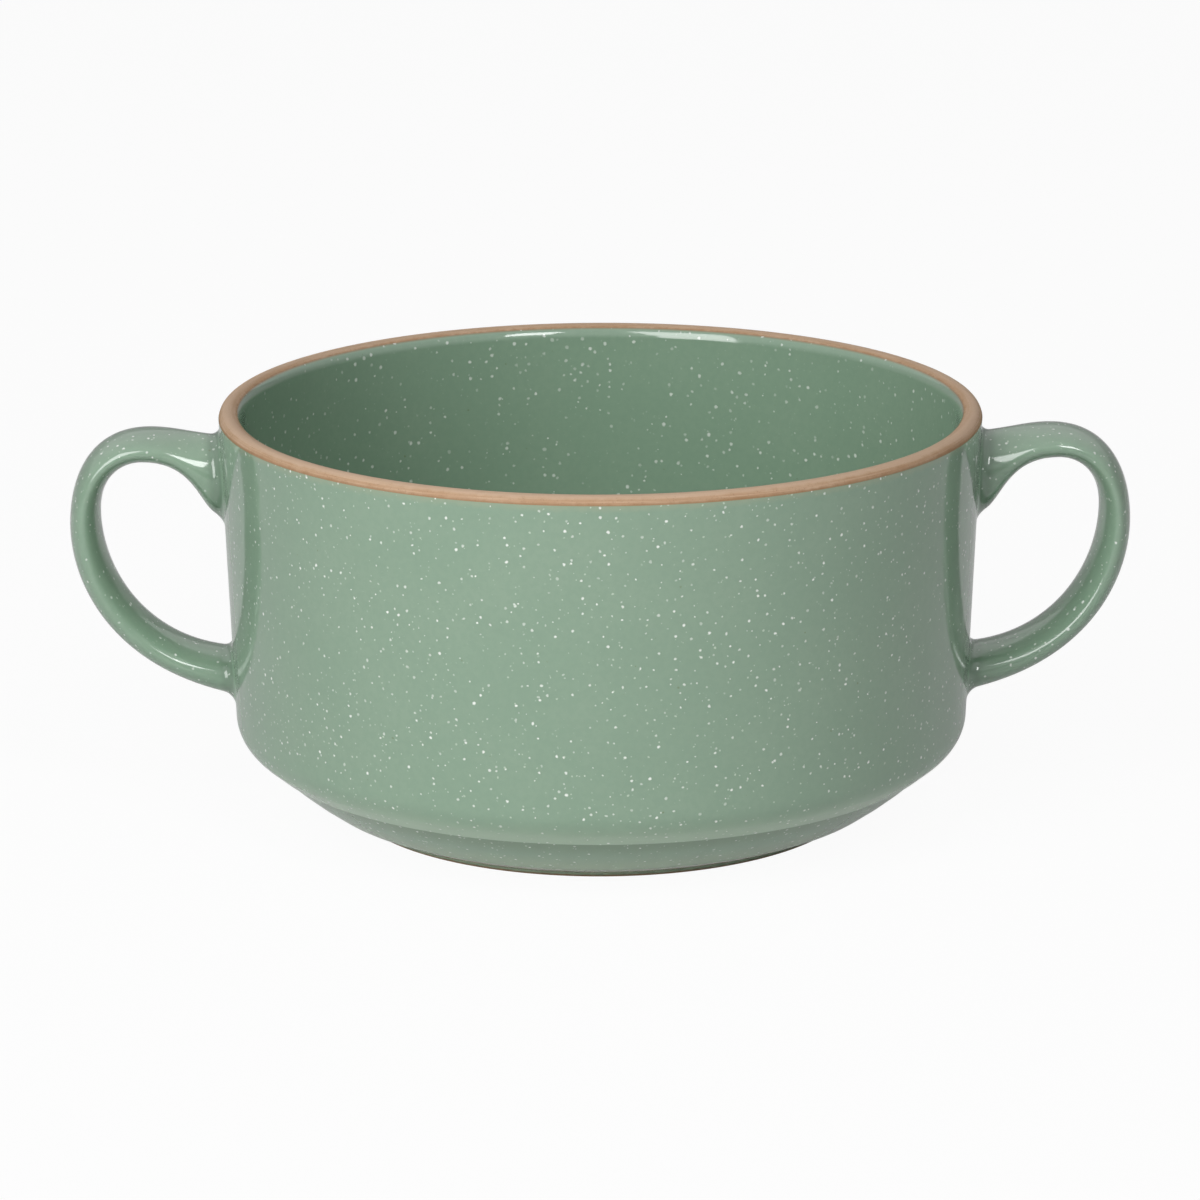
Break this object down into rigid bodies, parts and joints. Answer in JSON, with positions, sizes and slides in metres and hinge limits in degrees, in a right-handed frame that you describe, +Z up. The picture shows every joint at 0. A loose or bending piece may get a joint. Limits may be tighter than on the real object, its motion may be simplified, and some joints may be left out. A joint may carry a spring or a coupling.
{
  "type": "lug soup bowl",
  "caption": "Straight-sided stoneware soup bowl with a bare clay lip, a stepped foot and an ear handle on either side, in speckled sage-green gloss glaze.",
  "frame": {"origin": "on the table under the middle of the bowl, at the centre of the foot ring", "axes": "+Z up out of the bowl, +X through the right-hand handle, +Y away from the viewer"},
  "size_m": [0.1816, 0.13, 0.0705],
  "materials": {
    "stoneware": "matte bare clay",
    "glaze": "gloss, speckled",
    "slip": "matte"
  },
  "bodies": {
    "root": {"bowl_body": "stoneware", "outer_glaze": "glaze", "inner_glaze": "glaze", "foot_glaze": "glaze", "left_handle": "stoneware", "left_slip": "slip", "left_handle_glaze": "glaze", "right_handle": "stoneware", "right_slip": "slip", "right_handle_glaze": "glaze"}
  },
  "joints": []
}
